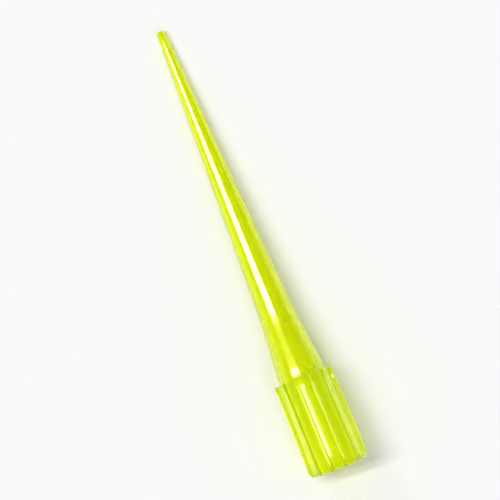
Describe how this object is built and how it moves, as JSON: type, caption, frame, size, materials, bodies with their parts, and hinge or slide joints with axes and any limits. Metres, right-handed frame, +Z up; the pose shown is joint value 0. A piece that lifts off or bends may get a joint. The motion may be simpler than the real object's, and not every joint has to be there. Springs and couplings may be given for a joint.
{
  "type": "pipette tip",
  "caption": "Ribbed disposable pipette tip of translucent plastic: an open tapered socket for the nozzle, a flare and a long cone that ends in a fine orifice.",
  "frame": {"origin": "on the surface that the tip lies on, under the middle of the tip's box", "axes": "+X towards the open mouth and -X towards the point, +Z up; the tip's own axis rises 3.98 degrees from the point to the mouth, because it lies on two ribs and its point"},
  "size_m": [0.0512, 0.0068, 0.0073],
  "materials": {
    "tip_plastic": "translucent gloss"
  },
  "bodies": {
    "root": {"pipette_tip": "tip_plastic"}
  },
  "joints": []
}
